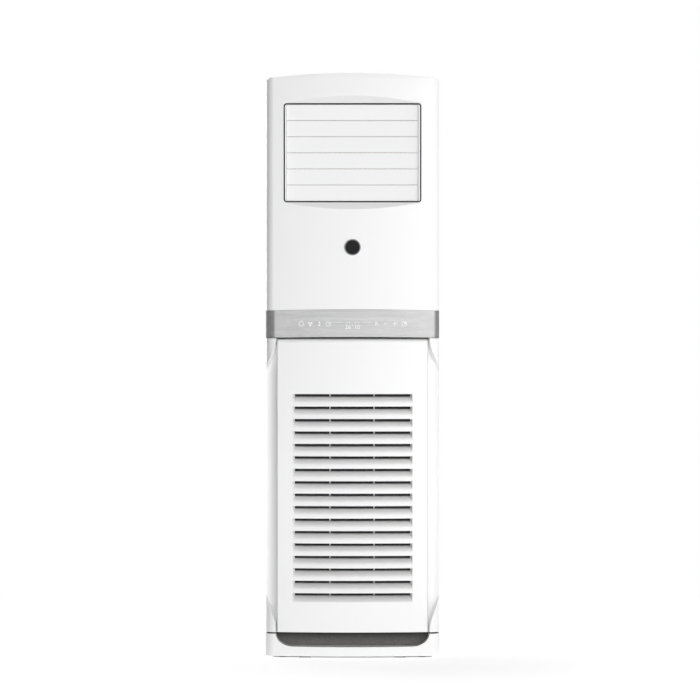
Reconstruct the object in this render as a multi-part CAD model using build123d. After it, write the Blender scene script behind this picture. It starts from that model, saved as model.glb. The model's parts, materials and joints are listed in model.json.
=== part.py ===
from build123d import *
import math
import os

# Floor standing air conditioner, indoor cabinet. Millimetres, +Z up, front faces -Y,
# origin on the floor under the middle of the cabinet's width and depth.

# --- cabinet ---------------------------------------------------------------------------------
BODY_W = 505.0            # cabinet width
BODY_H = 1700.0           # floor to the crown of the arched top
FRONT_Y = -154.5          # crown of the bowed front
BACK_Y = 154.5            # back of the cabinet
BOW_R = 1280.0            # radius of the bowed front, seen from above
CORNER_R = 30.0           # front corner radius, seen from above
REAR_CORNER_R = 8.0
TOP_RISE = 12.0           # how much the top edge arches
SHOULDER_R = 17.0         # rounding of the top corners, seen from the front
TOP_LEAN = (18.0, 5.0)    # the faces lean in over this height at the top, by this much
SKIN = 3.0                # moulded front parts
SHEET = 2.5               # side panels and top cover
SEAM_Y = -92.0            # seam between the wrapped front parts and the side panels
GAP = 0.3                 # half of a panel gap
BACK_RETURN_X = 237.0     # side panels fold round the back to here

# --- base ------------------------------------------------------------------------------------
FOOT_H = 3.0
BASE_TOP = 68.2
BASE_FLARE = 1.5          # plinth stands out from the cabinet at the floor
BASE_FLARE_TOP = 0.8
BASE_RIM = 24.0           # width of the rim that the plinth stands on
DECK = 4.0                # its top plate
BODY_Z0 = 72.4            # side panels start above a shadow gap
SCOOP_X = 226.0           # half width of the front scoop
SCOOP_Z = 30.5            # its lower edge
SCOOP_CORNER = (50.0, 40.0)
SCOOP_Y = (-157.0, -112.0)  # crown of its mouth, and its back
SCOOP_DRAFT = 0.08         # how much it narrows per depth
TRAY_T = 1.5
TRAY_INSET = 3.2          # steel tray's edge, seen in the shadow gap
PAD_X = (202.5, 138.0)    # round and flat foot pads

# --- control band ----------------------------------------------------------------------------
BAND_Z = (932.4, 1011.6)  # at the middle of the front
BAND_DROP = 3.0           # the band's edges fall this much towards the corners
BAND_PROUD = 0.8
KEY_X = (-150.0, -127.0, -97.0, -72.0, 70.0, 95.0, 125.0, 150.0)
KEY_Z = 970.5
KEY_R = 5.0
BOARD_Y = (-131.0, -129.4)
BADGE_Z = 1193.0
BADGE_R = 24.0
BADGE_RING_W = 3.0

# --- outlet window and louvres ---------------------------------------------------------------
WINDOW_X = 200.6          # half width of the hole in the front panel
WINDOW_Z = (1324.2, 1613.0)
WINDOW_CORNER = 9.0
WINDOW_Y = -138.6         # flat plane that the window lies in
RECESS_SLOPE = 20.4 / 15.9  # rise of the recess walls per depth
TRIM_W = 3.8              # dark ring round the window
TRIM_SLOPE = 3.2          # its face falls this much towards the inside
OPEN_X = 192.2            # half width of the clear opening
LOUVRES = 6
LOUVRE_PITCH = 46.8
LOUVRE_GAP = 0.8
LOUVRE_X = 191.5          # half length of a blade
LOUVRE_T = 5.0
LOUVRE_Y = -131.0         # pivot line, in the middle of the blade
LOUVRE_PIN_R = 2.2
CRANK = (6.5, 25.6)       # crank pin behind and above the louvre's pivot
CRANK_PIN_R = 1.5
LUG_X = (-187.0, -185.0)  # crank lugs
LINK_X = (-184.7, -181.7)
LINK_HALF = 2.6
FIT = 0.07                # running clearance, radial
VANES = 7
VANE_PITCH = 54.0
VANE_Y = -70.0            # pivot line of the upright vanes
VANE_DEPTH = 48.0
VANE_T = 2.0
VANE_PIN_R = 2.5
VANE_CRANK = 18.0
VANE_CRANK_R = 1.8
VANE_FOOT = 16.0          # how far the vanes reach below the lowest louvre's pivot

# --- intake panel and filter -----------------------------------------------------------------
DOOR_X = 218.5
DOOR_Z = (73.0, 927.0)
DOOR_BACK_Y = -113.0
DOOR_TOP_R = 12.0         # rounding of its top edge
SLOTS = 17
SLOT_PITCH = 36.2
SLOT_TOP = 766.1
SLOT_H = 25.3
SLOT_X = 174.5
SLAT_DEPTH = 18.6
SLAT_T = 2.2
SLOT_GAP = 7.4            # open height over each slat
SLAT_BULGE = 2.4          # how far its face is domed out of the flat
CHEEK_DRAFT = 6.5
BAR_SET = 0.05            # bars between the slots lie this far behind the panel's face
GRILLE_DEPTH = 20.5
RIB_X = (-65.5, 62.6)
RIB_DEPTH = 18.8          # front edge of the ribs behind the slats
HINGE_YZ = (-118.0, 88.0) # line of the intake panel's hinge pins
HINGE_PIN_R = 4.0
EAR_R = 7.5               # hinge ear round the pin
EAR_X = (192.0, 198.0)
CHASSIS_Y = (-94.4, -92.4)
RAIL_X = 191.5
FILTER_X = 190.0
FILTER_Y = (-121.0, -115.0)
FILTER_Z = (116.0, 796.0)

# --- finger flutes beside the intake panel ---------------------------------------------------
FLUTE_TAPER = 0.6         # how the flute's outer wall closes in with depth
FLUTE_Y = -135.0          # depth at which the flute's outline is given
FLUTE_END_X = -225.2
FLUTE_MID_X = -273.0
FLUTE_Z = (68.0, 225.0, 795.0, 934.0)
FLUTE_REACH = 0.45        # how long the S-curve's ends stay upright
FLUTE_FLOOR = (-240.5, -111.0)  # deepest line of the floor
FLUTE_FLOOR_R = (36.0, 25.0)  # its bow outside and inside of that line
FLUTE_FLOOR_X = (-258.0, -249.0, -227.0, -217.0)
FLUTE_IN_X = -DOOR_X - 1.0

# --- fan -------------------------------------------------------------------------------------
FAN_X = -20.0
FAN_Z = 430.0
SCROLL_Y = (-80.0, 58.0)
SCROLL_WALL = 2.5
SCROLL_TOP_R = 180.0      # impeller centre to the scroll wall at the top
SCROLL_ARCS = (190.0, 205.0, 220.0)
OUTLET_X = (60.0, 235.0)  # outlet, from the fan's centre
OUTLET_H = 290.0
IMPELLER_R = 160.0
BLADE_IN_R = 130.0
BLADES = 36
IMPELLER_Y = (-66.0, 46.0)
SHAFT_R = 6.0
MOTOR_R = 58.0
MOTOR_Y = (61.2, 128.0)

# --- coil and its chamber --------------------------------------------------------------------
COIL_X = 180.0
COIL_T = 44.0
COIL_L = 560.0
COIL_TILT = -16.9
COIL_FOOT = (-62.0, 962.0)
FINS = 25
FIN_T = 2.4
TUBE_R = 4.75
TUBE_WALL = 0.5
TUBE_ROWS = 14
TUBE_PITCH = 40.0
PAN_Z = (943.0, 968.0)
PIPE_X = 228.0
GAS_R = 8.0
LIQUID_R = 3.2
GAS_UNION_R = 11.1
LIQUID_UNION_R = 5.55
PIPE_WALL = 0.8
UNION_Z = 190.0
SPIGOT_XY = (-195.0, -38.0)
SPIGOT_R = (9.0, 6.5)     # outside and bore
SPIGOT_L = 28.0
BOX_X = 185.0             # control box behind the intake panel's head
BOX_Y = (-106.0, -66.0)
BOX_Z = (775.0, 905.0)
BOX_T = 1.5

# --- back ------------------------------------------------------------------------------------
REAR_Y = (153.3, 154.3)
EXIT_XZ = (165.0, 155.0)
EXIT_R = 36.0
GROMMET_R = 30.0
ANCHOR_X = 100.0
ANCHOR_Z = (1600.0, 1640.0)
ANCHOR_R = 2.6
SCREW_Z = (100.0, 400.0, 700.0, 1000.0, 1300.0, 1580.0)
SCREW_HEAD_R = 4.5
SCREW_R = 2.1


# --- helpers ---------------------------------------------------------------------------------
def block(x0, x1, y0, y1, z0, z1):
    """A box between two corners."""
    size = Box(x1 - x0, y1 - y0, z1 - z0, align=(Align.MIN, Align.MIN, Align.MIN))
    return Pos(x0, y0, z0) * size


def prism_x(face, x0, x1):
    """A face drawn in (Y, Z), pulled along X."""
    return Pos(x0, 0, 0) * extrude(Plane.YZ * face, amount=x1 - x0)


def prism_y(face, y0, y1):
    """A face drawn in (X, Z), pulled along Y."""
    return Pos(0, y1, 0) * extrude(Plane.XZ * face, amount=y1 - y0)


def prism_z(face, z0, z1):
    """A face drawn in (X, Y), pulled along Z."""
    return Pos(0, 0, z0) * extrude(face, amount=z1 - z0)


def rod_x(y, z, radius, x0, x1):
    return prism_x(Pos(y, z) * Circle(radius), x0, x1)


def rod_y(x, z, radius, y0, y1):
    return prism_y(Pos(x, z) * Circle(radius), y0, y1)


def rod_z(x, y, radius, z0, z1):
    return prism_z(Pos(x, y) * Circle(radius), z0, z1)


def save(name, shape):
    """Write one piece, or several separate solids of one piece, to its STEP file."""
    parts = shape if isinstance(shape, list) else [shape]
    solids = [solid for part in parts for solid in part.solids()]
    whole = solids[0] if len(solids) == 1 else Compound(children=solids)
    export_step(whole, os.path.join("parts", name + ".step"))


def bow_y(x, inset=0.0):
    """Where the bowed front, set back by inset, lies at x."""
    radius = BOW_R - inset
    return FRONT_Y + BOW_R - math.sqrt(radius * radius - x * x)


def body_plan(inset):
    """The cabinet seen from above, every side set back by inset."""
    half = BODY_W / 2 - inset
    back = BACK_Y - inset
    edge = bow_y(half, inset)
    front = ThreePointArc((-half, edge), (0, FRONT_Y + inset), (half, edge))
    sides = Polyline((half, edge), (half, back), (-half, back), (-half, edge))
    face = make_face(front + sides)
    fronts = face.vertices().sort_by(Axis.Y)[:2]
    face = fillet(fronts, CORNER_R - inset)
    backs = face.vertices().sort_by(Axis.Y)[-2:]
    return fillet(backs, max(REAR_CORNER_R - inset, 1.0))


def front_outline(inset):
    """The cabinet seen from the front: straight sides under an arched top."""
    half = BODY_W / 2 - inset
    top = BODY_H - inset
    edge = top - TOP_RISE * (half / (half - SHOULDER_R)) ** 2
    arch = ThreePointArc((-half, edge), (0, top), (half, edge))
    rest = Polyline((half, edge), (half, 0), (-half, 0), (-half, edge))
    face = make_face(arch + rest)
    shoulders = face.vertices().sort_by(Axis.Y)[-2:]
    return fillet(shoulders, SHOULDER_R - inset)


def envelope(inset):
    """The cabinet as one closed form, its faces leaning in a little at the top."""
    height, lean = TOP_LEAN
    level = BODY_H - height
    wall = prism_z(body_plan(inset), 0, level)
    plans = [Pos(0, 0, level) * body_plan(inset), Pos(0, 0, BODY_H + 2) * body_plan(inset + lean)]
    return (wall + loft(plans, ruled=True)) & prism_y(front_outline(inset), -200, 200)


def bow_face(inset, half, back):
    """Seen from above: behind the bowed front set back by inset, as far as back."""
    edge = bow_y(half, inset)
    front = ThreePointArc((-half, edge), (0, FRONT_Y + inset), (half, edge))
    sides = Polyline((half, edge), (half, back), (-half, back), (-half, edge))
    return make_face(front + sides)


def bow_bar(inset, thickness, half):
    """Seen from above: a bar that follows the bowed front."""
    near = bow_y(half, inset)
    far = bow_y(half, inset + thickness)
    outer = ThreePointArc((-half, near), (0, FRONT_Y + inset), (half, near))
    inner = ThreePointArc((-half, far), (0, FRONT_Y + inset + thickness), (half, far))
    ends = Line((-half, near), (-half, far)) + Line((half, near), (half, far))
    return make_face(outer + inner + ends)


def arched_zone(low, high):
    """Seen from the front: between two levels that both fall towards the corners."""
    half = BODY_W / 2 + 10
    top = ThreePointArc((-half, high - BAND_DROP), (0, high), (half, high - BAND_DROP))
    bottom = ThreePointArc((-half, low - BAND_DROP), (0, low), (half, low - BAND_DROP))
    left = Line((-half, low - BAND_DROP), (-half, high - BAND_DROP))
    right = Line((half, low - BAND_DROP), (half, high - BAND_DROP))
    return make_face(top + bottom + left + right)


def rounded_window(half, low, high, radius):
    """A rectangle with round corners, drawn in (X, Z) about the window's middle."""
    return Pos(0, (low + high) / 2) * RectangleRounded(2 * half, high - low, radius)


# --- base ------------------------------------------------------------------------------------
def scoop_outline(grow):
    """The scoop seen from the front, with elliptical lower corners."""
    half = SCOOP_X + grow
    low = SCOOP_Z - grow
    wide, high = SCOOP_CORNER
    wide += grow
    high += grow
    top = BASE_TOP + 20
    bottom = Line((-half + wide, low), (half - wide, low))
    right = EllipticalCenterArc((half - wide, low + high), wide, high, -90, arc_size=90)
    left = EllipticalCenterArc((-half + wide, low + high), wide, high, 180, arc_size=90)
    sides = Polyline((half, low + high), (half, top), (-half, top), (-half, low + high))
    return make_face(bottom + right + left + sides)


def scoop_tunnel(grow, back):
    """Space of the scoop: drafted from its mouth to its back and open upwards."""
    faces = []
    for y in (FRONT_Y - 20, back):
        face = scoop_outline(grow - SCOOP_DRAFT * (y - SCOOP_Y[0]))
        faces.append(Pos(0, y, 0) * (Plane.XZ * face))
    return loft(faces, ruled=True)


def base_plinth():
    floor_plan = Pos(0, 0, FOOT_H) * body_plan(-BASE_FLARE)
    top_plan = Pos(0, 0, BASE_TOP) * body_plan(-BASE_FLARE_TOP)
    outer = loft([floor_plan, top_plan], ruled=True)
    liner = scoop_tunnel(SKIN, SCOOP_Y[1])
    hollow = prism_z(body_plan(1.0), FOOT_H + SKIN, BASE_TOP - DECK) - liner
    mouth = prism_z(body_plan(BASE_RIM), FOOT_H - 1, FOOT_H + SKIN + 1)
    return outer - scoop_tunnel(0, SCOOP_Y[1]) - hollow - mouth


def base_tray():
    """Steel tray on the plinth's deck, its front turned down behind the scoop."""
    low, high = BASE_TOP + 0.1, BODY_Z0 - 0.2
    front = SCOOP_Y[1] - 0.3
    tray = prism_z(body_plan(TRAY_INSET), low, high)
    tray -= prism_z(body_plan(TRAY_INSET + TRAY_T), low + TRAY_T, high + 1)
    tray -= block(-SCOOP_X, SCOOP_X, -200, front, low - 1, high + 1)
    shrink = -SCOOP_DRAFT * (front - SCOOP_Y[0]) - 1.0
    skirt = prism_y(scoop_outline(shrink), front - TRAY_T, front) - block(-300, 300, -200, 0, high, 200)
    return tray + [skirt, block(-200, 200, front - 0.5, front + 1, low, low + TRAY_T)]


def foot_pads():
    """Four round feet and four flat pads under the plinth's rim."""
    pads = []
    for side in (-1, 1):
        for y in (-126.0, 143.0):
            pads.append(rod_z(side * PAD_X[0], y, 11, 0, FOOT_H))
        for y in (-139.0, 144.0):
            x = side * PAD_X[1]
            pads.append(block(x - 16.5, x + 16.5, y - 8, y + 8, 0, FOOT_H))
    return pads


# --- cabinet skins ---------------------------------------------------------------------------
def flute_outline(y, grow):
    """The left flute seen from the front at depth y: open inwards, S-curved ends outside."""
    shift = FLUTE_TAPER * (y - FLUTE_Y) - grow
    end = FLUTE_END_X + shift
    mid = FLUTE_MID_X + shift
    z0, z1, z2, z3 = FLUTE_Z
    low_reach = FLUTE_REACH * (z1 - z0)
    high_reach = FLUTE_REACH * (z3 - z2)
    low = Bezier((end, z0), (end, z0 + low_reach), (mid, z1 - low_reach), (mid, z1))
    high = Bezier((mid, z2), (mid, z2 + high_reach), (end, z3 - high_reach), (end, z3))
    inner = FLUTE_IN_X + 50
    edge = Polyline((end, z3), (end, 950), (inner, 950), (inner, 60), (end, 60), (end, z0))
    return make_face(low + Line((mid, z1), (mid, z2)) + high + edge)


def flute_floor_y(x):
    x0, y0 = FLUTE_FLOOR
    radius = FLUTE_FLOOR_R[0] if x < x0 else FLUTE_FLOOR_R[1]
    return y0 - radius + math.sqrt(radius ** 2 - (x - x0) ** 2)


def cove_face(grow):
    """The left flute seen from above: a hollow floor, steeper beside the intake panel."""
    start, left, right, end = [(x, flute_floor_y(x)) for x in FLUTE_FLOOR_X]
    inside, outside, ahead = end[0] + 14, start[0] - 10, -180.0
    rest = Polyline(end, (inside, end[1]), (inside, ahead), (outside, ahead), (outside, start[1]), start)
    floor = ThreePointArc(start, left, FLUTE_FLOOR) + ThreePointArc(FLUTE_FLOOR, right, end)
    face = make_face(floor + rest)
    return offset(face, grow, kind=Kind.INTERSECTION) if grow else face


def flute(grow):
    faces = [Pos(0, y, 0) * (Plane.XZ * flute_outline(y, grow)) for y in (-180.0, -85.0)]
    return loft(faces, ruled=True) & prism_z(cove_face(grow), 50, 960)


def left_side_panel(outer):
    """Side wall with its finger flute."""
    shell = outer - envelope(SHEET)
    lower_top = BAND_Z[0] - 4.0
    side = shell & block(-260, -BACK_RETURN_X, SEAM_Y + GAP, 160, BODY_Z0, BODY_H - 32)
    side += shell & block(-260, FLUTE_IN_X, -180, SEAM_Y + GAP, BODY_Z0, lower_top)
    liner = flute(SHEET) & outer & block(-260, FLUTE_IN_X, -180, -80, BODY_Z0, lower_top)
    return (side + liner) - flute(0)


def top_cover(outer):
    shell = outer - envelope(SHEET)
    return shell & block(-260, 260, SEAM_Y + GAP, 160, BODY_H - 31.5, BODY_H + 5)


def recess_profile(grow):
    """Seen from the side: the window's recess opens upwards and downwards to the front."""
    low, high = WINDOW_Z
    near = -175.0
    reach = RECESS_SLOPE * (WINDOW_Y + grow - near)
    y = WINDOW_Y + grow
    extra = 1.4 * grow
    points = ((y, low - extra), (y, high + extra))
    outer = ((near, high + extra + reach), (near, low - extra - reach))
    return make_face(Polyline(*points, *outer, close=True))


def upper_front_panel(outer):
    zone = prism_y(arched_zone(BAND_Z[1] + 2 * GAP, BODY_H + 40), -200, SEAM_Y - GAP)
    shell = (outer - envelope(SKIN)) & zone
    surround = prism_x(recess_profile(SKIN), -WINDOW_X - 4, WINDOW_X + 4) & outer
    recess = prism_x(recess_profile(0), -WINDOW_X, WINDOW_X)
    hole = prism_y(rounded_window(WINDOW_X, *WINDOW_Z, WINDOW_CORNER), -200, -120)
    return (shell + surround) - recess - hole


def control_band():
    proud = prism_z(body_plan(-BAND_PROUD), 900, 1040) - prism_z(body_plan(SKIN), 899, 1041)
    return proud & prism_y(arched_zone(*BAND_Z), -200, SEAM_Y - GAP)


def display_carrier():
    """Bowed channel behind the band, between the side panels."""
    z0, z1 = BAND_Z[0] + 1.2, BAND_Z[1] - 0.5
    channel = prism_z(bow_face(7.0, 236, -97), z0, z1)
    channel -= prism_z(bow_face(9.5, 233.5, -90), z0 + 2.5, z1 - 2.5)
    return channel - block(-32, 32, -160, -140, 948, 990)


def display_board():
    """Circuit board with the digit block in front and a spring pad behind each key."""
    front, back = BOARD_Y
    board = block(-170, 170, front, back, 945, 1000)
    digits = block(-30, 30, front - 12, front, 950, 980)
    keys = [rod_y(x, KEY_Z, KEY_R, bow_y(x, 11), front) for x in KEY_X]
    return board + [digits, *keys]


def badge_ring():
    ring = rod_y(0, BADGE_Z, BADGE_R, FRONT_Y - 1.9, FRONT_Y - 0.02)
    return ring - rod_y(0, BADGE_Z, BADGE_R - BADGE_RING_W, FRONT_Y - 3, FRONT_Y + 1)


def badge_disc():
    """Blank disc inside the ring."""
    return rod_y(0, BADGE_Z, BADGE_R - BADGE_RING_W - 0.1, FRONT_Y - 1.4, FRONT_Y - 0.02)


def rear_panel():
    y0, y1 = REAR_Y
    panel = block(-BACK_RETURN_X + 0.6, BACK_RETURN_X - 0.6, y0, y1, BODY_Z0, BODY_H - 32)
    panel -= rod_y(*EXIT_XZ, EXIT_R, y0 - 1, y1 + 1)
    for x, z in anchor_places():
        panel -= rod_y(x, z, 4.5, y0 - 1, y1 + 1)
    for x, z in screw_places():
        panel -= rod_y(x, z, SCREW_R + 0.2, y0 - 1, y1 + 1)
    return panel


def anchor_places():
    return [(side * ANCHOR_X, z) for side in (-1, 1) for z in ANCHOR_Z]


def screw_places():
    return [(side * (BACK_RETURN_X - 9), z) for side in (-1, 1) for z in SCREW_Z]


def anchor_nuts():
    """Rivet nuts that the wall bracket's screws go into."""
    nuts = []
    for x, z in anchor_places():
        barrel = rod_y(x, z, 4.45, REAR_Y[0] - 12, REAR_Y[1]) + rod_y(x, z, 6.5, REAR_Y[1], REAR_Y[1] + 1)
        nuts.append(barrel - rod_y(x, z, ANCHOR_R, 140, 158))
    return nuts


def case_screws():
    screws = []
    for x, z in screw_places():
        back = REAR_Y[1]
        head = rod_y(x, z, SCREW_HEAD_R, back + 0.02, back + 2.1) - rod_y(x, z, 1.5, back + 1.3, back + 4)
        screws.append(head + rod_y(x, z, SCREW_R, back - 8, back + 1))
    return screws


def pipe_grommet():
    x, z = EXIT_XZ
    y0, y1 = REAR_Y
    ring = rod_y(x, z, EXIT_R - 0.1, y0 - 3, y1) + rod_y(x, z, EXIT_R + 6, y0 - 3, y0 - 0.1)
    ring += rod_y(x, z, EXIT_R + 4, y1 + 0.1, y1 + 2) + rod_y(x, z, EXIT_R - 0.1, y1, y1 + 1)
    return ring - rod_y(x, z, GROMMET_R, y0 - 10, y1 + 10)


# --- outlet: trim, frame, louvres, vanes -----------------------------------------------------
def louvre_z(index):
    middle = sum(WINDOW_Z) / 2
    return middle + LOUVRE_PITCH * ((LOUVRES - 1) / 2 - index)


def vane_x(index):
    return VANE_PITCH * (index - (VANES - 1) / 2)


def window_trim():
    low, high = WINDOW_Z
    outer = rounded_window(WINDOW_X - 0.2, low + 0.2, high - 0.2, WINDOW_CORNER - 0.2)
    inner = rounded_window(WINDOW_X - TRIM_W, low + TRIM_W, high - TRIM_W, WINDOW_CORNER - TRIM_W)
    ring = prism_y(outer, WINDOW_Y - 0.6, -134) - prism_y(inner, WINDOW_Y - 2, -130)
    lip = rounded_window(WINDOW_X - 0.9, low + 0.9, high - 0.9, WINDOW_CORNER - 0.9)
    faces = [Pos(0, WINDOW_Y - 0.61, 0) * (Plane.XZ * lip)]
    faces.append(Pos(0, WINDOW_Y - 0.6 + TRIM_SLOPE, 0) * (Plane.XZ * inner))
    return ring - loft(faces, ruled=True)


def outlet_frame():
    low, high = WINDOW_Z
    half = LOUVRES * LOUVRE_PITCH / 2
    middle = (low + high) / 2
    inner = TRIM_W + 0.2
    nose = rounded_window(WINDOW_X - inner, low + inner, high - inner, WINDOW_CORNER - inner)
    frame = prism_y(nose, WINDOW_Y, -133)
    frame += block(-WINDOW_X + 3, WINDOW_X - 3, -133.5, -36, low - 0.4, high + 0.4)
    frame -= block(-OPEN_X, OPEN_X, -150, -30, middle - half, middle + half)
    for index in range(LOUVRES):
        frame -= rod_x(LOUVRE_Y, louvre_z(index), LOUVRE_PIN_R + FIT, -OPEN_X - 4, OPEN_X + 4)
    for index in range(VANES):
        frame -= rod_z(vane_x(index), VANE_Y, VANE_PIN_R + FIT, low - 1, high + 1)
    y, z = LOUVRE_Y + CRANK[0], louvre_z(0) + CRANK[1]
    return frame - block(-188.5, -179.5, y - 4.5, y + 16, z - 8, z + 8)


def louvre(index):
    """One blade with its end pins and, behind its upper edge, the lug that the link bar turns."""
    z = louvre_z(index)
    height = LOUVRE_PITCH - LOUVRE_GAP
    blade = prism_x(Pos(LOUVRE_Y, z) * RectangleRounded(LOUVRE_T, height, 1.2), -LOUVRE_X, LOUVRE_X)
    blade += rod_x(LOUVRE_Y, z, LOUVRE_PIN_R, -OPEN_X - 3.5, OPEN_X + 3.5)
    y1, z1 = LOUVRE_Y + CRANK[0], z + CRANK[1]
    foot, head = (LOUVRE_Y, z + 4), (LOUVRE_Y, z + 11)
    outline = Polyline(foot, (y1 + 2, z1 - 2.5), (y1 - 2.2, z1 - 0.5), head, close=True)
    lug = make_face(outline) + Pos(y1, z1) * Circle(2.9)
    blade += prism_x(lug, *LUG_X)
    return blade + rod_x(y1, z1, CRANK_PIN_R, LUG_X[1], LINK_X[1] + 1.2)


def louvre_link():
    """Upright bar with one hole for each louvre's crank pin."""
    y = LOUVRE_Y + CRANK[0]
    z0 = louvre_z(LOUVRES - 1) + CRANK[1]
    z1 = louvre_z(0) + CRANK[1]
    bar = block(*LINK_X, y - LINK_HALF, y + LINK_HALF, z0 - 4, z1 + 3.2)
    for index in range(LOUVRES):
        bar -= rod_x(y, louvre_z(index) + CRANK[1], CRANK_PIN_R + FIT, LINK_X[0] - 1, LINK_X[1] + 1)
    return bar


def louvre_motor():
    z = louvre_z(2)
    return block(-213, -WINDOW_X + 2.6, LOUVRE_Y - 2.2, LOUVRE_Y + 21, z - 15, z + 15)


def vane(index):
    x = vane_x(index)
    low, high = louvre_z(LOUVRES - 1) - VANE_FOOT, louvre_z(0) + 15
    half, reach = VANE_T / 2, VANE_DEPTH / 2
    plate = block(x - half, x + half, VANE_Y - reach, VANE_Y + reach, low, high)
    pins = rod_z(x, VANE_Y, VANE_PIN_R, WINDOW_Z[0] + 1.5, WINDOW_Z[1] - 1.5)
    return plate + [pins, rod_z(x, VANE_Y + VANE_CRANK, VANE_CRANK_R, low - 5.5, low + 1)]


def vane_link():
    """Flat bar under the vanes, one hole for each vane's crank pin."""
    low = louvre_z(LOUVRES - 1) - VANE_FOOT
    y = VANE_Y + VANE_CRANK
    end = vane_x(VANES - 1) + 6
    bar = block(-end, end, y - 4, y + 4, low - 4.6, low - 1.6)
    for index in range(VANES):
        bar -= rod_z(vane_x(index), y, VANE_CRANK_R + FIT, low - 6, low)
    return bar


def vane_motor():
    x = vane_x(VANES // 2)
    top = WINDOW_Z[0] - 0.6
    ears = block(x - 21, x + 21, VANE_Y - 4, VANE_Y + 4, top - 2.6, top)
    return rod_z(x, VANE_Y, 17.5, top - 21.6, top) + ears


# --- intake panel ----------------------------------------------------------------------------
def slot_z(index):
    """Lower and upper edge of one slot, counted from the top."""
    top = SLOT_TOP - SLOT_PITCH * index
    return top - SLOT_H, top


def cheek(side):
    """Drafted wall at one end of the slots."""
    y = bow_y(SLOT_X)
    tip = (side * SLOT_X, y)
    back = (side * (SLOT_X - CHEEK_DRAFT), y + GRILLE_DEPTH - 2)
    outer = (side * 181, y + GRILLE_DEPTH - 2)
    root = (side * 181, bow_y(181, 1.5))
    face = make_face(Polyline(tip, back, outer, root, close=True))
    return prism_z(face, slot_z(SLOTS - 1)[0] - 3, SLOT_TOP + 3)


def slat(index):
    """Domed blade: flush at the slot's lower edge, deep under the gap at its top."""
    low, high = slot_z(index)
    rise = high - SLOT_GAP - low
    lean = math.atan2(SLAT_DEPTH - BAR_SET, rise)
    middle_z = low + rise / 2 + SLAT_BULGE * math.sin(lean)
    middle_inset = (BAR_SET + SLAT_DEPTH) / 2 - SLAT_BULGE * math.cos(lean)
    stations = [(low, BAR_SET), (middle_z, middle_inset), (low + rise, SLAT_DEPTH)]
    return loft([Pos(0, 0, z) * bow_bar(inset, SLAT_T, SLOT_X + 1) for z, inset in stations])


def door_rail(side):
    """Channel for the filter's edge, carried by the panel's back."""
    low, high = FILTER_Z[0] - 6, FILTER_Z[1] + 14
    x0, x1 = sorted((side * RAIL_X, side * (RAIL_X + 3)))
    web = block(x0, x1, bow_y(RAIL_X, 2), FILTER_Y[1] + 3, low, high)
    x0, x1 = sorted((side * (RAIL_X - 6), side * (RAIL_X + 1)))
    lips = [block(x0, x1, FILTER_Y[0] - 3.5, FILTER_Y[0] - 1, low, high)]
    lips.append(block(x0, x1, FILTER_Y[1] + 1, FILTER_Y[1] + 3, low, high))
    return [web, *lips]


def door_block(inset, back):
    """The intake panel as a closed form, every side set back by inset, its top edge round."""
    low, high = DOOR_Z
    form = prism_z(bow_face(inset, DOOR_X - inset, back), low + inset, high - inset)
    arcs = form.edges().filter_by(GeomType.CIRCLE).sort_by(Axis.Z)
    return fillet(arcs[-1], DOOR_TOP_R - inset)


def intake_panel():
    skin = door_block(0, DOOR_BACK_Y) - door_block(SKIN, DOOR_BACK_Y + 5)
    skin -= block(-SLOT_X, SLOT_X, -180, -120, slot_z(SLOTS - 1)[0], SLOT_TOP)
    pieces = [cheek(-1), cheek(1), *door_rail(-1), *door_rail(1)]
    for x in RIB_X:
        z0, z1 = slot_z(SLOTS - 1)[0] - 3, SLOT_TOP + 3
        pieces.append(block(x - 1, x + 1, bow_y(x, RIB_DEPTH), bow_y(x, GRILLE_DEPTH), z0, z1))
    pieces += [slat(index) for index in range(SLOTS)]
    for index in range(SLOTS - 1):
        pieces.append(prism_z(bow_bar(BAR_SET, SKIN, SLOT_X + 1), slot_z(index + 1)[1], slot_z(index)[0]))
    ledge = FILTER_Z[0] - 4
    pieces.append(block(-RAIL_X - 1, RAIL_X + 1, FILTER_Y[0] - 3.5, FILTER_Y[1] + 3, ledge, ledge + 3))
    for side in (-1, 1):
        x0, x1 = sorted((side * (EAR_X[0] - 1.5), side * (DOOR_X - 2)))
        pieces.append(rod_x(*HINGE_YZ, HINGE_PIN_R, x0, x1))
    return skin + pieces


def filter_frame():
    low, high = FILTER_Z
    y0, y1 = FILTER_Y
    frame = block(-FILTER_X, FILTER_X, y0, y1, low, high)
    frame -= block(-FILTER_X + 10, FILTER_X - 10, y0 - 1, y1 + 1, low + 10, high - 10)
    bars = [block(x - 1.5, x + 1.5, y0, y0 + 2.5, low + 5, high - 5) for x in (-90, 0, 90)]
    rows = [low + (high - low) * step / 6 for step in range(1, 6)]
    bars += [block(-FILTER_X + 5, FILTER_X - 5, y0, y0 + 2.5, z - 1.5, z + 1.5) for z in rows]
    return frame + bars


def filter_mesh():
    low, high = FILTER_Z
    y = FILTER_Y[0] + 2.6
    return block(-FILTER_X + 10.1, FILTER_X - 10.1, y, y + 0.8, low + 10.1, high - 10.1)


def hinge_ear(x0, x1):
    """Arm that reaches forward from the chassis frame and carries one hinge pin."""
    y, z = HINGE_YZ
    back = CHASSIS_Y[1]
    arm = Polyline((y, z - EAR_R), (back, z + 2), (back, z + 14), (y, z + EAR_R), close=True)
    ear = make_face(arm) + Pos(y, z) * Circle(EAR_R)
    return prism_x(ear - Pos(y, z) * Circle(HINGE_PIN_R + FIT), x0, x1)


def chassis_frame():
    """Steel frame behind the intake panel, with the ears that its hinge pins turn in."""
    y0, y1 = CHASSIS_Y
    frame = block(-236, 236, y0, y1, BODY_Z0 + 1, 925)
    frame -= block(-188, 188, y0 - 1, y1 + 1, 110, 908)
    near, far = EAR_X
    return frame + [hinge_ear(-far, -near), hinge_ear(near, far)]


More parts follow.
